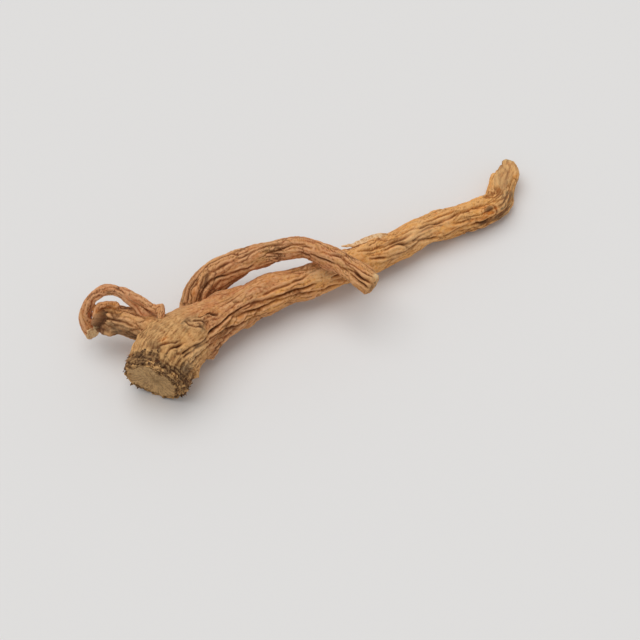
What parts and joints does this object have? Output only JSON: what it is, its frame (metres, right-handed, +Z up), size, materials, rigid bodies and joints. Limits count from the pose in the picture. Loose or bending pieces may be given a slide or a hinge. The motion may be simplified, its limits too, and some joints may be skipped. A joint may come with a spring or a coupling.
{
  "type": "peucedanum root",
  "caption": "Dried, wrinkled root lying down: thick main root with a cut crown and a bent tip, an arching branch, a short lateral and a curled rootlet.",
  "frame": {"origin": "on the surface the root lies on, under the middle of its bounding box", "axes": "+X from the cut crown towards the bent tip, +Z up, +Y to the side that the arching branch grows from"},
  "size_m": [0.1438, 0.0495, 0.0208],
  "materials": {
    "bark": "dry, wrinkled tan bark, matt, darker in its furrows"
  },
  "bodies": {
    "root": {"peucedanum_root": "bark"}
  },
  "joints": []
}
